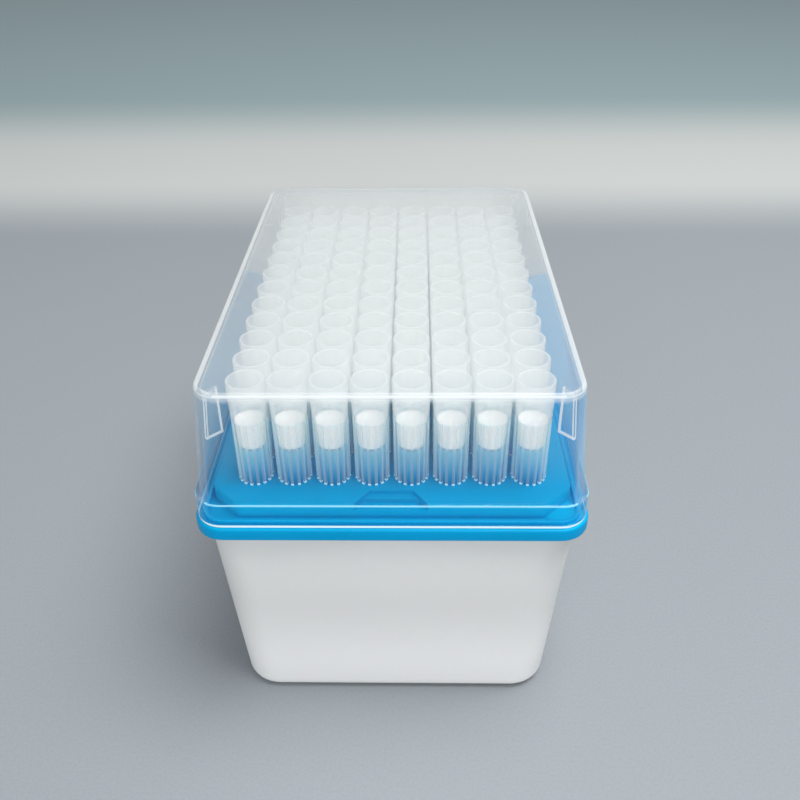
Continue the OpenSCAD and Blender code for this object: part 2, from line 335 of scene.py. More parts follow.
def at_height(z):
    """A test for parts that lie at height z."""
    return lambda part: all(abs(p.z - z) < NEAR for p in points(part))


def everywhere(part):
    """The test that every part passes."""
    return True


def stretch(x, y, z):
    """Scales what is selected along the axes, about the origin."""
    bpy.ops.transform.resize(value=(x, y, z), center_override=(0, 0, 0))


def move(x, y, z):
    """Moves what is selected."""
    bpy.ops.transform.translate(value=(x, y, z))


def extrude(x, y, z):
    """Extrudes what is selected and moves it."""
    bpy.ops.mesh.extrude_region_move()
    move(x, y, z)


def slab(size, place):
    """Starts a piece: a block of a size, with its middle at a place."""
    deselect()
    bpy.ops.mesh.primitive_cube_add(size=1, enter_editmode=True)
    stretch(*size)
    move(*place)


def disc(sides, radius):
    """Starts a piece: a flat disc at the origin."""
    deselect()
    bpy.ops.mesh.primitive_circle_add(
        vertices=sides, radius=radius, fill_type="NGON", enter_editmode=True
    )


class Ring:
    """The selected ring or face of a piece in edit mode, grown step by step."""

    def __init__(self, half, z):
        self.half, self.z = half, z

    def to(self, z, half=None):
        """Extrudes the ring to height z and half size half."""
        half = half or self.half
        extrude(0, 0, z - self.z)
        stretch(half[0] / self.half[0], half[1] / self.half[1], 1)
        self.half, self.z = half, z
        return self


def outline(name, half, z, corner, segments):
    """Starts a piece: a flat rectangle of half size half whose corners are cut."""
    deselect()
    bpy.ops.mesh.primitive_plane_add(size=2, enter_editmode=True)
    bpy.context.object.name = name
    stretch(half[0], half[1], 1)
    move(0, 0, z)
    bpy.ops.mesh.bevel(offset=corner, segments=segments, affect="VERTICES")
    pick("FACE", everywhere)
    return Ring(half, z)


def grown(half, by):
    """A half size grown by a length on each side."""
    return (half[0] + by, half[1] + by)


def round_edges(test, radius, segments):
    """Bevels the edges that pass a test."""
    pick("EDGE", test)
    bpy.ops.mesh.bevel(
        offset=radius, offset_type="OFFSET", segments=segments, affect="EDGES"
    )


def merge(threshold):
    """Merges vertices that all but coincide and turns the faces outwards."""
    bpy.ops.mesh.select_all(action="SELECT")
    bpy.ops.mesh.remove_doubles(threshold=threshold)
    bpy.ops.mesh.normals_make_consistent(inside=False)


def leave_edit():
    """Closes the edit with the faces pointing outwards, and returns the piece."""
    merge(DOUBLE)
    bpy.ops.object.mode_set(mode="OBJECT")
    return bpy.context.object


def enter_edit(piece):
    """Opens a piece for editing."""
    choose(piece)
    bpy.ops.object.mode_set(mode="EDIT")


def apply_modifier(piece, kind, **values):
    """Adds a modifier to a piece and applies it."""
    choose(piece)
    modifier = piece.modifiers.new(kind.title(), kind)
    for key, value in values.items():
        setattr(modifier, key, value)
    bpy.ops.object.modifier_apply(modifier=modifier.name)


def combine(piece, tool, operation):
    """Unites a piece with a tool, or cuts the tool out of it, and drops the tool."""
    apply_modifier(piece, "BOOLEAN", operation=operation, object=tool, solver="EXACT")
    bpy.data.objects.remove(tool)


def smooth(piece, degrees):
    """Shades a piece smooth, apart from edges sharper than an angle."""
    choose(piece)
    bpy.ops.object.shade_smooth_by_angle(angle=math.radians(degrees))


def coat(piece, *zones):
    """Gives a piece its materials, each painted on the faces that pass its test."""
    for index, (test, material) in enumerate(zones):
        piece.data.materials.append(material)
        for face in piece.data.polygons:
            if test(face):
                face.material_index = index


def seat(piece, body, node):
    """Hangs a piece on its body's empty and hides the node that it stands for."""
    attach(piece, body)
    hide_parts(node)


def duplicate(piece, name, matrix):
    """A copy of a piece with its own mesh, moved by a matrix."""
    copy = piece.copy()
    copy.data = piece.data.copy()
    copy.name = copy.data.name = name
    copy.data.transform(matrix)
    bpy.context.scene.collection.objects.link(copy)
    return copy


def join(name, parts):
    """Joins parts into one piece."""
    deselect()
    for part in parts:
        part.select_set(True)
    bpy.context.view_layer.objects.active = parts[0]
    bpy.ops.object.join()
    parts[0].name = parts[0].data.name = name
    return parts[0]


def in_columns(part, name, node, turn=lambda: 0):
    """Copies a part to every place, each column as one piece, and drops the part."""
    for c, column in enumerate(COLUMNS):
        copies = []
        for i in range(ACROSS):
            place = Matrix.Translation(spot(i, c)) @ Matrix.Rotation(turn(), 4, "Z")
            copies.append(duplicate(part, "copy", place))
        piece = join(f"{name}_{column}", copies)
        seat(piece, "rack", f"{node}_{column}")
    bpy.data.objects.remove(part)


# Finishes


class Finish:
    """A material being built from nodes."""

    def __init__(self, name):
        self.material = bpy.data.materials.new(name)
        self.material.use_nodes = True
        self.tree = self.material.node_tree
        self.tree.nodes.clear()
        self.output = self.node("ShaderNodeOutputMaterial")
        self.place = self.node("ShaderNodeTexCoord").outputs["Object"]

    def node(self, kind, **inputs):
        """Adds a node; each input is a value or the socket that feeds it."""
        node = self.tree.nodes.new(kind)
        for name, value in inputs.items():
            self.feed(node.inputs[name.replace("_", " ")], value)
        return node

    def feed(self, socket, value):
        """Sets a socket to a value or links it to another socket."""
        if isinstance(value, bpy.types.NodeSocket):
            self.tree.links.new(value, socket)
        else:
            socket.default_value = value

    def noise(self, scale, detail=2.0, roughness=0.5, stretch=(1, 1, 1)):
        """Noise of so many cells per metre, stretched along the axes."""
        mapping = self.node("ShaderNodeMapping", Vector=self.place, Scale=stretch)
        texture = self.node(
            "ShaderNodeTexNoise", Vector=mapping.outputs[0], Scale=scale,
            Detail=detail, Roughness=roughness,
        )
        return texture.outputs["Fac"]

    def between(self, factor, low, high):
        """Maps a factor from 0 to 1 onto a range."""
        node = self.node("ShaderNodeMapRange", Value=factor, To_Min=low, To_Max=high)
        return node.outputs["Result"]

    def step(self, value, start, end):
        """A soft step from 0 to 1 as a value goes from start to end."""
        ends = {"From_Min": start, "From_Max": end}
        node = self.node("ShaderNodeMapRange", Value=value, **ends)
        node.interpolation_type = "SMOOTHSTEP"
        return node.outputs["Result"]

    def along(self, axis):
        """Where a point of the piece lies along an axis."""
        return self.node("ShaderNodeSeparateXYZ", Vector=self.place).outputs[axis]

    def beyond(self, axis, start, end):
        """A soft step from 0 to 1, on both sides of the middle of an axis."""
        return self.step(self.sum("ABSOLUTE", self.along(axis)), start, end)

    def sum(self, operation, *values):
        """The result of a sum on numbers and sockets."""
        node = self.tree.nodes.new("ShaderNodeMath")
        node.operation = operation
        for socket, value in zip(node.inputs, values):
            self.feed(socket, value)
        return node.outputs[0]

    def blend(self, factor, first, second):
        """Mixes two colours."""
        node = self.tree.nodes.new("ShaderNodeMix")
        node.data_type = "RGBA"
        self.feed(node.inputs["Factor"], factor)
        self.feed(node.inputs["A"], first)
        self.feed(node.inputs["B"], second)
        return node.outputs["Result"]

    def bump(self, height, strength, distance, under=None):
        """A bumped normal."""
        node = self.node(
            "ShaderNodeBump", Height=height, Strength=strength, Distance=distance
        )
        if under is not None:
            self.feed(node.inputs["Normal"], under)
        return node.outputs["Normal"]

    def mix(self, factor, first, second):
        """Mixes two shaders."""
        node = self.tree.nodes.new("ShaderNodeMixShader")
        self.feed(node.inputs[0], factor)
        self.tree.links.new(first, node.inputs[1])
        self.tree.links.new(second, node.inputs[2])
        return node.outputs[0]

    def done(self, shader):
        """Links the shader to the output and returns the material."""
        self.tree.links.new(shader, self.output.inputs["Surface"])
        return self.material


def rgba(value, factor=1.0):
    """A colour with an alpha of 1, made darker by a factor."""
    return (*(min(1.0, c * factor) for c in value), 1.0)


def moulded_white(settings):
    """Satin white plastic with a fine moulded grain, lighter towards its foot by a
    painted floor bounce.
    """
    f = Finish("tub_white")
    cloud = f.noise(28, detail=3)
    grain = f.noise(2600, detail=2)
    flow = f.noise(90, detail=2, stretch=(1, 1, 0.25))
    shade = f.blend(f.between(cloud, 0.2, 0.8), rgba(settings.white, 0.97),
                    rgba(settings.white, 1.02))
    # painted floor bounce: from 36 mm down to 8 mm the colour is mixed more and more
    # towards pure white
    rise = f.step(f.along("Z"), 8 * MM, 36 * MM)
    shade = f.blend(rise, f.blend(0.75, shade, rgba((1, 1, 1))), shade)
    normal = f.bump(grain, 0.10, 0.06 * MM)
    normal = f.bump(flow, 0.06, 0.25 * MM, normal)
    shader = f.node(
        "ShaderNodeBsdfPrincipled", Base_Color=shade, Normal=normal,
        Roughness=f.between(grain, 0.36, 0.50), IOR=1.49,
        Subsurface_Weight=0.12, Subsurface_Scale=1.0 * MM,
    )
    through = f.node("ShaderNodeBsdfTranslucent", Color=rgba(settings.white))
    return f.done(f.mix(settings.glow, shader.outputs[0], through.outputs[0]))


def moulded_blue(name, settings, blue):
    """Half-gloss blue plastic."""
    f = Finish(name)
    cloud = f.noise(45, detail=3)
    grain = f.noise(1900, detail=2)
    ripple = f.noise(160, detail=1)
    shade = f.blend(f.between(cloud, 0.15, 0.85), rgba(blue, 0.90), rgba(blue, 1.08))
    normal = f.bump(grain, 0.06, 0.05 * MM)
    normal = f.bump(ripple, 0.05, 0.3 * MM, normal)
    shader = f.node(
        "ShaderNodeBsdfPrincipled", Base_Color=shade, Normal=normal,
        Roughness=f.between(cloud, 0.24, 0.34), IOR=1.49, Specular_IOR_Level=0.12,
    )
    through = f.node("ShaderNodeBsdfTranslucent", Color=rgba(blue, 1.3))
    return f.done(f.mix(settings.glow, shader.outputs[0], through.outputs[0]))


def porous_white(settings):
    """Sintered white plastic of a filter."""
    f = Finish("filter_white")
    beads = f.noise(5200, detail=3, roughness=0.65)
    shade = f.blend(f.between(beads, 0.1, 0.9), rgba(settings.white, 0.93),
                    rgba(settings.white, 1.04))
    shader = f.node(
        "ShaderNodeBsdfPrincipled", Base_Color=shade, Roughness=0.85,
        Normal=f.bump(beads, 0.35, 0.08 * MM), Subsurface_Weight=0.2,
        Subsurface_Scale=0.8 * MM,
    )
    return f.done(shader.outputs[0])


def clear_plastic(name, tint, haze, rim, gloss, shine=0.02, back=0.5, where=None):
    """Clear plastic with a milky haze, which grows by rim where a wall is seen edge on.

    Back is the share of the haze's light that comes from behind. The tint can be a
    function of the finish, and where, another, gives a factor for the haze, so that
    both can change from place to place.
    """
    f = Finish(name)
    tint = tint(f) if callable(tint) else rgba(tint)
    cloud = f.noise(60, detail=2)
    ripple = f.noise(38, detail=2, roughness=0.4)
    facing = f.node("ShaderNodeLayerWeight", Blend=0.5).outputs["Facing"]
    even = f.between(cloud, haze * 0.92, haze * 1.08)
    if where:
        even = f.sum("MULTIPLY", even, where(f))
    milk = f.sum("MULTIPLY_ADD", f.sum("POWER", facing, 6.0), rim, even)
    clear = f.node("ShaderNodeBsdfTransparent", Color=(0.998, 0.999, 1.0, 1.0))
    lit = f.node("ShaderNodeBsdfDiffuse", Color=tint)
    through = f.node("ShaderNodeBsdfTranslucent", Color=tint)
    milky = f.mix(back, lit.outputs[0], through.outputs[0])
    body = f.mix(milk, clear.outputs[0], milky)
    mirror = f.node(
        "ShaderNodeBsdfGlossy", Color=(1, 1, 1, 1), Roughness=gloss,
        Normal=f.bump(ripple, 0.12, 0.3 * MM),
    )
    glint = f.sum("MULTIPLY_ADD", f.sum("POWER", facing, 5.0), 0.96, shine)
    return f.done(f.mix(glint, body, mirror.outputs[0]))


# The pieces


class TIPBOX_OT_tub(bpy.types.Operator):
    """Models the white tub: drafted walls, a rounded foot and an open top"""

    bl_idname = "tipbox.tub"
    bl_label = "Tub"

    def execute(self, context):
        s = context.scene.tipbox_tub
        top = (tub_high.x, tub_high.y)
        low = (top[0] - s.side_draft, top[1] - s.end_draft)
        ring = outline("tub_shell", low, tub_low.z, s.corner, ROUND)
        ring.to(tub_high.z, top)
        round_edges(at_height(tub_low.z), s.foot, 7)
        pick("FACE", at_height(tub_high.z))
        bpy.ops.mesh.delete(type="FACE")
        tub = leave_edit()
        apply_modifier(tub, "SOLIDIFY", thickness=s.wall, offset=-1,
                       use_even_offset=True, use_quality_normals=True)
        enter_edit(tub)
        pick("VERT", lambda v: v.co.z > tub_high.z - 0.5 * s.wall)
        bpy.ops.transform.resize(value=(1, 1, 0), center_override=(0, 0, tub_high.z))
        round_edges(at_height(tub_high.z), *TUB_RIM)
        tub = leave_edit()
        smooth(tub, 32)
        coat(tub, (everywhere, moulded_white(s)))
        seat(tub, "base", "base")
        return {"FINISHED"}


def block(name, half, low, high, corner, segments, *rounded):
    """An upright block with cut or rounded corners and rounded edges."""
    outline(name, half, low, corner, segments).to(high)
    for test, edge in rounded:
        round_edges(test, *edge)
    return leave_edit()


def flange(s, lip, flange_z):
    """The flange with the lip that hangs round it."""
    low = flange_z - s.lip
    plate = block("rack_shell", lip, low, flange_z, s.corner, ROUND,
                  (at_height(flange_z), LIP_TOP), (at_height(low), LIP_FOOT))
    pocket = block("pocket", grown(lip, -s.wall), low - PAST, flange_z - s.plate,
                   s.corner - s.wall, ROUND)
    combine(plate, pocket, "DIFFERENCE")
    return plate


def curb(s, lip, flange_z):
    """The low ring that the lid's foot goes round."""
    outer = grown(lip, -s.curb_in)
    inner = grown(outer, -s.curb_wall)
    corner, segments = s.corner - s.curb_in, 8
    top = flange_z + s.curb
    ring = block("curb", outer, flange_z - OVERLAP, top, corner, segments,
                 (at_height(top), CURB_TOP))
    hollow = block("hollow", inner, flange_z - PAST, flange_z + 2 * s.curb,
                   corner - s.curb_wall, segments)
    combine(ring, hollow, "DIFFERENCE")
    return ring


def webs(s, deck):
    """The crossing webs under the deck, as one grid, open across its middle."""
    plates = []
    top = DECK_Z - s.plate + OVERLAP
    low = DECK_Z - s.plate - s.web_depth
    wide, deep = 2 * deck[0] - s.wall, 2 * deck[1] - s.wall
    lengthwise = [((i - ACROSS / 2) * PITCH, 0) for i in range(1, ACROSS)]
    rows = len(COLUMNS)
    crosswise = [(0, (c - rows / 2) * PITCH) for c in range(1, rows)]
    for x, y in lengthwise + crosswise:
        size = (s.web, deep) if y == 0 else (wide, s.web)
        slab((*size, top - low), (x, y, (top + low) / 2))
        plates.append(leave_edit())
    grid = plates[0]
    for plate in plates[1:]:
        combine(grid, plate, "UNION")
    return grid


def punch(s):
    """The cutter for all the holes, each flared a little at the deck's top."""
    flare = 0.2 * MM
    half, low = (s.hole_r, s.hole_r), DECK_Z - 2 * s.plate
    disc(40, s.hole_r)
    move(0, 0, low)
    ring = Ring(half, low).to(DECK_Z - flare)
    ring.to(DECK_Z + flare, grown(half, 2 * flare))
    one = leave_edit()
    pins = [
        duplicate(one, "pin", Matrix.Translation((*spot(i, c).xy, 0)))
        for i in range(ACROSS) for c in range(len(COLUMNS))
    ]
    bpy.data.objects.remove(one)
    return join("punch", pins)


def notch_floor(s, deck, turn):
    """The plate that closes a finger notch underneath."""
    reach = s.notch_l + 0.5 * s.wall
    start = 0.4 * s.wall - deck[1]
    slab((s.notch_w + 2 * s.plate, reach, s.notch_d2),
         (0, reach / 2 + start, DECK_Z - s.plate - s.notch_d2 / 2))
    plate = leave_edit()
    plate.data.transform(Matrix.Rotation(turn, 4, "Z"))
    return plate


def notch_step(s, deck, reach, depth, turn):
    """The cutter for one step of a finger notch, narrower towards its back."""
    deselect()
    bpy.ops.mesh.primitive_plane_add(size=1, enter_editmode=True)
    stretch(s.notch_w, reach, 1)
    move(0, reach / 2 - deck[1], DECK_Z - depth)
    pick("VERT", lambda v: v.co.y > -deck[1] + NEAR)
    shorter = 1 - (1 - s.notch_back / s.notch_w) * reach / s.notch_l
    stretch(shorter, 1, 1)
    pick("EDGE", lambda e: all(abs(v.co.y + deck[1]) < NEAR for v in e.verts))
    extrude(0, -2 * PAST, 0)
    pick("FACE", everywhere)
    extrude(0, 0, depth + PAST)
    cutter = leave_edit()
    cutter.data.transform(Matrix.Rotation(turn, 4, "Z"))
    return cutter


class TIPBOX_OT_rack(bpy.types.Operator):
    """Models the blue rack: pierced deck, shoulder, flange, lip, curb and webs"""

    bl_idname = "tipbox.rack"
    bl_label = "Rack"

    def execute(self, context):
        s = context.scene.tipbox_rack
        last = spot(ACROSS - 1, len(COLUMNS) - 1)
        deck = (last.x + s.deck_side, last.y + s.deck_end)
        lip = (rack_high.x, rack_high.y)
        flange_z = DECK_Z - s.shoulder
        upright = (lambda e: abs(e.verts[0].co.z - e.verts[1].co.z) > MM, DECK_CORNER)
        rack = flange(s, lip, flange_z)
        cap = block("cap", deck, flange_z - s.plate, DECK_Z, s.deck_cut, CUT,
                    upright, (at_height(DECK_Z), DECK_RIM))
        combine(rack, cap, "UNION")
        skirt = (deck[0] - s.skirt_side, deck[1])
        apron = block("apron", skirt, rack_painted_light.z, flange_z - 0.5 * s.plate,
                      s.deck_cut, CUT, upright)
        combine(rack, apron, "UNION")
        inside = block("inside", grown(skirt, -s.wall), rack_painted_light.z - PAST,
                       DECK_Z - s.plate, s.deck_cut - CUT_IN * s.wall, CUT)
        combine(rack, inside, "DIFFERENCE")
        combine(rack, webs(s, deck), "UNION")
        combine(rack, curb(s, lip, flange_z), "UNION")
        combine(rack, punch(s), "DIFFERENCE")
        steps = ((s.notch_l, s.notch_d), (s.notch_front, s.notch_d2))
        for turn in (0, math.pi):
            combine(rack, notch_floor(s, deck, turn), "UNION")
            for reach, depth in steps:
                notch = notch_step(s, deck, reach, depth, turn)
                combine(rack, notch, "DIFFERENCE")
        smooth(rack, 30)

        # painted light: the shoulder, flange and curb faces get the brighter blue,
        # lifting the shade between deck and lid
        def painted_light_zone(face):
            x, y, z = abs(face.center.x), abs(face.center.y), face.center.z
            outside = x > deck[0] - MM or y > deck[1] - MM
            cut = x + y > deck[0] + deck[1] - s.deck_cut - 1.5 * MM
            return flange_z - NEAR < z < DECK_Z - 0.25 * MM and (outside or cut)

        coat(rack, (everywhere, moulded_blue("rack_blue", s, s.blue)),
             (painted_light_zone, moulded_blue("rack_painted_light", s, s.painted_light_blue)))
        seat(rack, "rack", "rack")
        return {"FINISHED"}


def is_rib(s, place):
    """True for a place at the middle of a rib."""
    step = 2 * math.pi / s.rib_count
    turn = (math.atan2(place.y, place.x) / step) % 1.0
    return abs(turn - 0.5) < 0.1


def shelf_z(s):
    """Height of the shelf under the collar above the deck."""
    return s.rib_h - SHELF_DROP


def outer_r(s, z, low_r=None, high_r=None):
    """Radius of the body, or of another cone, between the deck and the shelf."""
    low_r, high_r = low_r or s.neck_r, high_r or s.shelf_r
    return low_r + (high_r - low_r) * z / shelf_z(s)


def ringed(s):
    """The circle that a tip grows from, with a short edge at each rib."""
    sides = 3 * s.rib_count
    disc(sides, s.neck_r)
    bpy.ops.transform.rotate(value=math.pi / sides, orient_axis="Z",
                             center_override=(0, 0, 0))
    pick("VERT", lambda v: is_rib(s, v.co))
    bpy.ops.mesh.bevel(offset=s.rib_t / 2, segments=1, affect="VERTICES")
    pick("FACE", everywhere)
    bpy.ops.mesh.delete(type="ONLY_FACE")
    pick("EDGE", everywhere)
    return Ring((s.neck_r, s.neck_r), 0)


def tip_body(s, top, low):
    """Makes the body: up the outside, down the bore and up to the deck again."""
    ring = ringed(s)
    bore_r = RIM_R - s.rim_wall
    soft = 0.1 * MM  # the rim's rounding goes in steps of this
    under = s.neck_r - s.wall
    middle_r = s.neck_r * s.taper
    narrowing = (s.neck_r - middle_r) * s.neck / (-low / 2)
    steps = [
        (s.dot, outer_r(s, s.dot)),
        (shelf_z(s), s.shelf_r),
        (s.rib_h, s.collar_r),
        (top - 1.6 * soft, RIM_R),
        (top - 0.4 * soft, RIM_R - 0.4 * soft),
        (top, RIM_R - 1.4 * soft),
        (top, bore_r + 1.4 * soft),
        (top - 0.6 * soft, bore_r + 0.3 * soft),
        (top - 1.6 * soft, bore_r),
        (top - s.mouth, bore_r),
        (0, under),
        (-s.neck, under - narrowing),
        (low / 2, middle_r - s.wall),
        (low, s.end_bore),
        (low, s.end_r),
        (low / 2, middle_r),
        (-s.neck, s.neck_r - narrowing),
        (0, s.neck_r),
    ]
    for z, radius in steps:
        ring.to(z, (radius, radius))
    merge(5 * DOUBLE)


def tip_ribs(s):
    """Pulls the ribs out of the collar's outside."""
    top = shelf_z(s)

    def on_rib(face):
        centre = face.calc_center_median()
        between = INSIDE < centre.z < top - INSIDE
        outer = centre.xy.length > outer_r(s, centre.z) - INSIDE
        return between and outer and is_rib(s, centre)

    pick("FACE", on_rib)
    bpy.ops.mesh.extrude_region_move()
    for z in (0, s.dot, top):
        grow = outer_r(s, z, s.foot_r, s.rib_top_r) / outer_r(s, z)
        pick("FACE", on_rib)
        pick("VERT", at_height(z), within=True)
        stretch(grow, grow, 1)
    pick("FACE", on_rib)
    pick("VERT", at_height(top), within=True)
    move(0, 0, RIB_RISE)


def finish_tip(s, tip, top):
    """Gives a tip its materials, zone by zone."""
    ribs_top = s.rib_h - INSIDE
    inner = s.neck_r - 0.5 * s.wall
    fade = 0.8 * MM  # on each side of the height of the filter's foot

    def zone(test):
        return lambda face: test(face.center.z, face.center.xy.length)

    def on_rib(z, radius):
        return INSIDE < z < ribs_top and radius > outer_r(s, z) + RIB_PROUD

    def filter_foot(f):
        return f.step(f.along("Z"), filters_low.z - fade, filters_low.z + fade)

    # painted light: the haze is full below the filter's foot, lifting its shadow, and
    # drops to 0.3 above it
    def lifted_below_filter(f):
        return f.between(filter_foot(f), 1.0, 0.3)

    # painted blue light from the rack: deep blue at the deck, paler blue up to the
    # filter's foot
    def painted_blue_below(f):
        rise = f.step(f.along("Z"), DECK_Z, filters_low.z)
        mixed = f.blend(rise, rgba(s.deep_painted_blue), rgba(s.low_painted_blue))
        return f.blend(filter_foot(f), mixed, rgba(s.tint))

    between_ribs = zone(lambda z, radius: INSIDE < z < ribs_top and radius > inner)
    collar = zone(lambda z, radius: z > ribs_top and radius > inner)
    neck = zone(lambda z, radius: -s.neck < z < -INSIDE)
    rim = zone(lambda z, radius: z > top - INSIDE / 2)
    rib_foot_glint = zone(lambda z, radius: on_rib(z, radius) and z < s.dot)
    coat(
        tip,
        (everywhere, clear_plastic("tip_clear", s.tint, s.haze, 0.5, 0.10)),
        (between_ribs, clear_plastic("tip_low_painted_light", painted_blue_below, s.low_painted_light, 0.6, 0.10,
                                     where=lifted_below_filter)),
        (zone(on_rib), clear_plastic("tip_rib", s.rib_tint, s.rib_haze, 0.3, 0.15)),
        (collar, clear_plastic("tip_collar", s.tint, s.collar_haze, 0.5, 0.10)),
        # painted blue light from the rack on the body below the deck
        (neck, clear_plastic("tip_neck_painted_blue", s.blue, 0.8, 0.15, 0.30)),
        (rim, clear_plastic("tip_edge", s.tint, s.rim_haze, 0.10, 0.20)),
        # painted highlight on the ribs' feet
        (rib_foot_glint, clear_plastic("tip_foot_glint", s.foot_glint_tint, 1.0, 0.0, 0.20, back=0.0)),
    )


class TIPBOX_OT_tips(bpy.types.Operator):
    """Models the clear tips, one piece for each column of eight"""

    bl_idname = "tipbox.tips"
    bl_label = "Tips"

    def execute(self, context):
        s = context.scene.tipbox_tips
        top, low = tips_high.z - DECK_Z, tips_low.z - DECK_Z
        tip_body(s, top, low)
        tip_ribs(s)
        tip = leave_edit()
        smooth(tip, 40)
        finish_tip(s, tip, top)
        turns = random.Random(SEED)
        in_columns(tip, "clear_tips", "tips_column",
                   lambda: turns.uniform(0, 2 * math.pi))
        return {"FINISHED"}


class TIPBOX_OT_filters(bpy.types.Operator):
    """Models the white filters, one piece for each column of eight"""

    bl_idname = "tipbox.filters"
    bl_label = "Filters"

    def execute(self, context):
        s = context.scene.tipbox_filters
        high, low = filters_high.z - DECK_Z, filters_low.z - DECK_Z
        foot_r = FILTER_R - s.draft
        disc(36, foot_r)
        move(0, 0, low)
        Ring((foot_r, foot_r), low).to(high, (FILTER_R, FILTER_R))
        round_edges(lambda e: at_height(high)(e) or at_height(low)(e), s.edge, 3)
        plug = leave_edit()
        smooth(plug, 50)
        coat(plug, (everywhere, porous_white(s)))
        in_columns(plug, "white_filters", "filters_column")
        return {"FINISHED"}


def lid_form(s, name, inward):
    """The lid's closed outer form, or, moved inwards by its wall, its hollow."""
    band = grown((lid_high.x, lid_high.y), -inward)
    wall_foot = grown(band, -s.band_out)
    top = (wall_foot[0] - s.side_draft, wall_foot[1] - s.end_draft)
    step, top_z = lid_low.z + s.band - inward, lid_high.z - inward
    ring = outline(name, band, lid_low.z - inward, s.corner - inward, ROUND)
    ring.to(lid_low.z + s.foot).to(step).to(step, wall_foot).to(top_z, top)
    round_edges(at_height(top_z), s.edge - inward / 2, 5)
    outer = lambda e: at_height(step)(e) and all(
        abs(p.x) > wall_foot[0] + NEAR or abs(p.y) > wall_foot[1] + NEAR
        for p in points(e)
    )
    if not inward:
        round_edges(outer, *LID_STEP)
    return leave_edit()


def plate_place(s):
    """Where a corner plate starts, within the corner's wall."""
    half = (lid_high.x - s.band_out - s.side_draft,
            lid_high.y - s.band_out - s.end_draft)
    radius = s.corner - s.band_out
    out = (radius - s.wall / 2) * DIAGONAL
    return half[0] - radius + out, half[1] - radius + out


def plate_lean(s):
    """How much further out the corner's wall stands at a plate's foot."""
    draft = (s.side_draft + s.end_draft) * DIAGONAL
    return draft * s.plate_h / (lid_high.z - lid_low.z - s.band)


def corner_plate(s):
    """A plate that stands out along X from the wall, under the lid's top."""
    lean, low = plate_lean(s), -s.plate_h
    slab((s.plate_root, s.plate_t, s.plate_h), (s.plate_root / 2, 0, low / 2))
    pick("VERT", at_height(low))
    move(-lean, 0, 0)
    pick("FACE", lambda face: face.normal.x > 0.9)
    extrude(s.plate_l - s.plate_root, 0, 0)
    pick("VERT", lambda v: v.co.x > s.plate_root and at_height(low)(v))
    move(lean, 0, 0)
    free = lambda e: at_height(low)(e) or all(
        v.co.x > s.plate_l - NEAR for v in e.verts
    )
    round_edges(free, *PLATE_RIM)
    return leave_edit()


def above_step(s, f):
    """A share: 0 in the band, 1 above the step."""
    step = lid_low.z + s.band
    return f.step(f.along("Z"), step - 0.5 * MM, step - 0.2 * MM)


def wall_tint_and_band_blue(s, f):
    """The colour of the walls' haze; in the band it is painted blue light from the rack
    behind.
    """
    return f.blend(above_step(s, f), rgba(s.band_painted_blue), rgba(s.tint))


def over_wall(s, f):
    """A share: 0 within the walls, 1 above the long walls."""
    wall = lid_high.x - s.band_out - s.side_draft - s.wall
    return f.beyond("X", wall - 0.5 * MM, wall)


def top_milk_and_sheen(s, f):
    """The top's haze: a painted sheen of soft light in the middle, clear beside it,
    milky on the walls.
    """
    last = spot(ACROSS - 1, 0).x
    beside = f.beyond("X", last - 6.5 * MM, last + 1.5 * MM)
    inside = f.between(beside, s.top_sheen, s.top_haze)
    return f.sum("MULTIPLY_ADD", over_wall(s, f), s.rim_haze, inside)


def bend_highlight_milk(s, f):
    """The haze of the top's rounded edge, a painted highlight along the edge, brighter
    on the long walls.
    """
    return f.between(over_wall(s, f), s.bend_highlight, s.long_bend_highlight)


def wall_haze(s, f):
    """The walls' haze, which grows at the corners; in the band it carries painted blue
    light, and near the top it is a painted highlight.
    """
    z, step = f.along("Z"), lid_low.z + s.band
    start, end = (share * (s.corner + s.band_out) for share in (0.62, 0.3))
    across = f.beyond("X", lid_high.x - start, lid_high.x - end)
    along = f.beyond("Y", lid_high.y - start, lid_high.y - end)
    corners = f.sum("MULTIPLY", f.sum("MULTIPLY", across, along), s.corner_haze)
    high = f.step(z, step + 2 * MM, step + 14 * MM)
    level = f.sum("MULTIPLY_ADD", across, s.side_haze, s.front_haze)
    sides = f.sum("MULTIPLY", level, high)
    # painted highlight: a milky band just below the top's rounded edge
    top = f.step(z, lid_high.z - 2.6 * MM, lid_high.z - 1.4 * MM)
    even = f.sum("MULTIPLY_ADD", top, s.brow_highlight, f.sum("ADD", corners, sides))
    band = f.between(above_step(s, f), s.band_haze, s.haze)
    return f.sum("ADD", even, band)


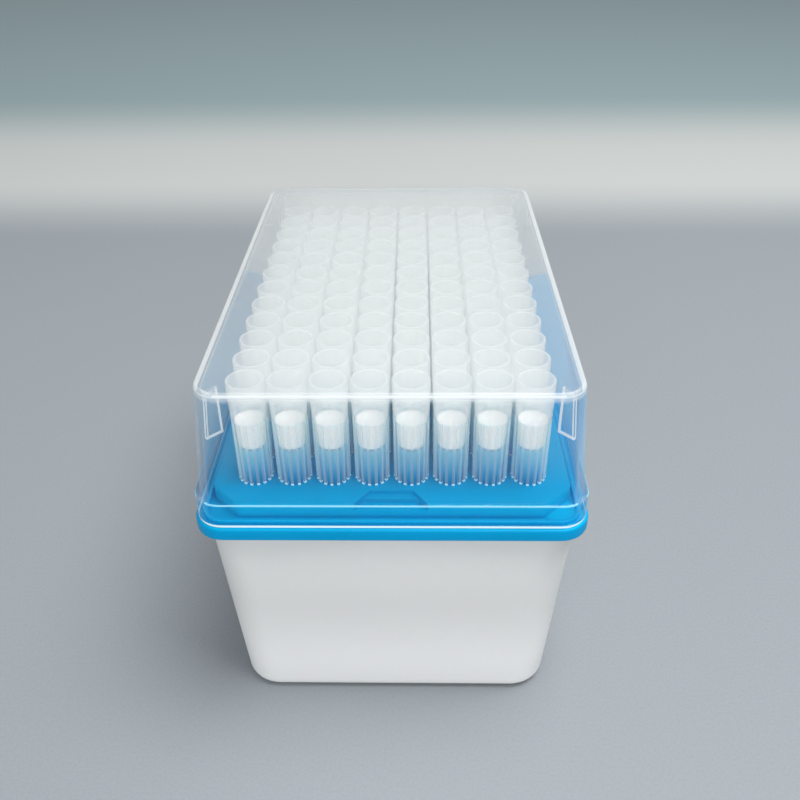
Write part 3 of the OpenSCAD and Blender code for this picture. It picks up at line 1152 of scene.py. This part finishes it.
def finish_lid(s, lid):
    """Gives the lid its materials: walls, top and bends, and the painted highlights of
    its step, edges and foot.
    """
    step = lid_low.z + s.band
    at = plate_place(s)
    plate_top = lid_high.z - s.wall / 2
    plate_low = plate_top - s.plate_h
    lean = plate_lean(s)
    close = 0.15 * MM  # a face nearer than this to a plate's free edge is on it

    # painted highlight: the outward faces of the foot strip
    def foot(face):
        outward = face.normal.xy.dot(face.center.xy) > 0
        low = face.center.z < lid_low.z + s.foot
        return outward and low and face.normal.z > -0.9

    def plate_glint_edge(face):
        x, y, z = abs(face.center.x), abs(face.center.y), face.center.z
        reach = (at[0] - x + at[1] - y) * DIAGONAL
        aside = (at[0] - x - at[1] + y) * DIAGONAL
        inside = plate_low - NEAR < z < lid_high.z - s.wall
        low = z < plate_low + close
        free = abs(reach - s.plate_l) < close
        root = reach + lean * (plate_top - z) / s.plate_h < s.plate_root
        return abs(aside) < s.plate_t and inside and (low or free or root)

    # painted highlight on the step's rounded faces
    def ledge(face):
        near_step = abs(face.center.z - step + 0.2 * MM) < 0.25 * MM
        return near_step and 0.1 < abs(face.normal.z) < 0.95

    def near_top(face, deep):
        return face.center.z > lid_high.z - deep

    def flat_top(face):
        return abs(face.normal.z) > 0.98 and near_top(face, 1.5 * s.wall)

    def bend(face):
        return near_top(face, s.edge + 0.1 * MM) and 0.08 < face.normal.z < 0.98

    # painted highlight on the plates' edges and the lower part of the top's rounded
    # edge
    def edge(face):
        return plate_glint_edge(face) or bend(face) and face.normal.z < 0.5

    coat(
        lid,
        (everywhere, clear_plastic(
            "lid_clear", lambda f: wall_tint_and_band_blue(s, f), 1.0, 0.22, 0.06, 0.01,
            back=0.3, where=lambda f: wall_haze(s, f))),
        (flat_top, clear_plastic("lid_top_sheen", s.top_tint, 1.0, 0.5, 0.10, back=0.6,
                                 where=lambda f: top_milk_and_sheen(s, f))),
        (bend, clear_plastic("lid_bend_highlight", s.top_tint, 1.0, 0.4, 0.25,
                             where=lambda f: bend_highlight_milk(s, f))),
        (ledge, clear_plastic("lid_step_glint", s.step_glint_tint, 0.78, 0.2, 0.3, back=0.3)),
        (edge, clear_plastic("lid_edge", s.tint, 0.8, 0.2, 0.25)),
        (foot, clear_plastic("lid_foot_glint", s.foot_glint_tint, 1.0, 0.0, 0.30, back=0.0)),
    )


class TIPBOX_OT_lid(bpy.types.Operator):
    """Models the clear lid: a band at its foot, a rounded top and corner plates"""

    bl_idname = "tipbox.lid"
    bl_label = "Lid"

    def execute(self, context):
        s = context.scene.tipbox_lid
        lid = lid_form(s, "lid_shell", 0)
        combine(lid, lid_form(s, "hollow", s.wall), "DIFFERENCE")
        enter_edit(lid)
        round_edges(at_height(lid_low.z), *LID_FOOT)
        lid = leave_edit()
        start = plate_place(s)
        for x, y in ((-1, -1), (-1, 1), (1, -1), (1, 1)):
            plate = corner_plate(s)
            at = Vector((x * start[0], y * start[1], lid_high.z - s.wall / 2))
            turn = Matrix.Rotation(math.atan2(-y, -x), 4, "Z")
            plate.data.transform(Matrix.Translation(at) @ turn)
            combine(lid, plate, "UNION")
        enter_edit(lid)
        merge(NEAR)
        lid = leave_edit()
        smooth(lid, 32)
        finish_lid(s, lid)
        seat(lid, "lid", "lid")
        return {"FINISHED"}


def lay_floor(s):
    """Lays the pale floor, with a painted pool of light behind the box and painted
    falloff of that light beyond.
    """
    deselect()
    bpy.ops.mesh.primitive_plane_add(size=6)
    floor = bpy.context.object
    floor.name = "floor"
    f = Finish("floor_pale")
    cloud = f.noise(2.2, detail=4)
    mottle = f.noise(26, detail=5, roughness=0.6)
    wash = f.blend(f.between(cloud, 0.1, 0.9), rgba(s.floor, 0.93),
                   rgba(s.floor, 1.07))
    shade = f.blend(f.between(mottle, 0.0, 0.5), wash, rgba(s.floor, 1.05))
    grain = f.noise(1300, detail=3, roughness=0.7)
    shade = f.blend(f.step(grain, 0.35, 0.7), rgba(s.floor, 1.10), shade)
    # painted pool of light behind the box, then painted falloff beyond it
    for start, end, tint in ((0.24, 0.34, s.floor_light_pool), (0.40, 0.56, s.floor_far_falloff)):
        shade = f.blend(f.step(f.along("Y"), start, end), shade, rgba(tint))
    shader = f.node("ShaderNodeBsdfPrincipled", Base_Color=shade, Roughness=0.55)
    floor.data.materials.append(f.done(shader.outputs[0]))


def add_lamp(name, place, target, size, power, tint):
    """Adds a soft square lamp aimed at a point."""
    data = bpy.data.lights.new(name, "AREA")
    data.shape, data.size, data.energy, data.color = "SQUARE", size, power, tint
    lamp = bpy.data.objects.new(name, data)
    bpy.context.scene.collection.objects.link(lamp)
    lamp.location = place
    aim = Vector(target) - Vector(place)
    lamp.rotation_euler = aim.to_track_quat("-Z", "Y").to_euler()


def add_sky(scene, s):
    """Adds even light all round."""
    world = bpy.data.worlds.new("studio")
    world.use_nodes = True
    background = world.node_tree.nodes["Background"]
    background.inputs["Color"].default_value = rgba(s.sky)
    background.inputs["Strength"].default_value = s.sky_strength
    scene.world = world


def add_camera(scene, s):
    """Adds the camera at the viewing angle."""
    data = bpy.data.cameras.new("camera")
    data.sensor_width, data.lens = 36, s.lens
    camera = bpy.data.objects.new("camera", data)
    scene.collection.objects.link(camera)
    turn = Matrix.Rotation(s.camera_turn, 4, "Z")
    tilt = Matrix.Rotation(math.pi / 2 - s.camera_tilt, 4, "X")
    roll = Matrix.Rotation(s.camera_roll, 4, "Z")
    place = Matrix.Translation(s.camera_place)
    camera.matrix_world = place @ turn @ tilt @ roll
    scene.camera = camera


class TIPBOX_OT_stage(bpy.types.Operator):
    """Sets up the pale floor, the soft studio light and the camera"""

    bl_idname = "tipbox.stage"
    bl_label = "Stage"

    def execute(self, context):
        scene, s = context.scene, context.scene.tipbox_stage
        lay_floor(s)
        add_sky(scene, s)
        add_lamp("key", (0.28, -0.10, 1.0), (0, 0, 0.05), 0.6, 11, (1, 1, 1))
        add_lamp("front", (-0.1, -1.2, 0.2), (0, 0, 0.03), 1.0, 9.5, (1, 1, 0.99))
        add_camera(scene, s)
        scene.view_settings.view_transform = "Standard"
        scene.cycles.transparent_max_bounces = 64
        scene.cycles.max_bounces = 24
        scene.cycles.diffuse_bounces = 10
        return {"FINISHED"}


PIECES = (
    TIPBOX_OT_tub, TIPBOX_OT_rack, TIPBOX_OT_tips, TIPBOX_OT_filters, TIPBOX_OT_lid,
)
SETTINGS = {
    "tipbox_tub": TubSettings,
    "tipbox_rack": RackSettings,
    "tipbox_tips": TipSettings,
    "tipbox_filters": FilterSettings,
    "tipbox_lid": LidSettings,
    "tipbox_stage": StageSettings,
}


class TIPBOX_PT_panel(bpy.types.Panel):
    """Lists the operators and the settings"""

    bl_label = "Tip Box"
    bl_idname = "TIPBOX_PT_panel"
    bl_space_type = "VIEW_3D"
    bl_region_type = "UI"
    bl_category = "Tip Box"

    def draw(self, context):
        layout = self.layout
        for operator in (TIPBOX_OT_stage, *PIECES):
            layout.operator(operator.bl_idname)
        for name, group in SETTINGS.items():
            box = layout.box()
            box.label(text=group.__doc__)
            for key in group.__annotations__:
                box.prop(getattr(context.scene, name), key)


CLASSES = (*SETTINGS.values(), TIPBOX_OT_stage, *PIECES, TIPBOX_PT_panel)


def register():
    """Registers the classes and hangs the settings on the scene."""
    for cls in CLASSES:
        bpy.utils.register_class(cls)
    for name, group in SETTINGS.items():
        setattr(bpy.types.Scene, name, bpy.props.PointerProperty(type=group))


def unregister():
    """Takes the settings and the classes away again."""
    for name in SETTINGS:
        delattr(bpy.types.Scene, name)
    for cls in reversed(CLASSES):
        bpy.utils.unregister_class(cls)


def main():
    """Builds the stage and the pieces."""
    register()
    bpy.ops.tipbox.stage()
    bpy.ops.tipbox.tub()
    bpy.ops.tipbox.rack()
    bpy.ops.tipbox.tips()
    bpy.ops.tipbox.filters()
    bpy.ops.tipbox.lid()


if __name__ == "__main__":
    main()
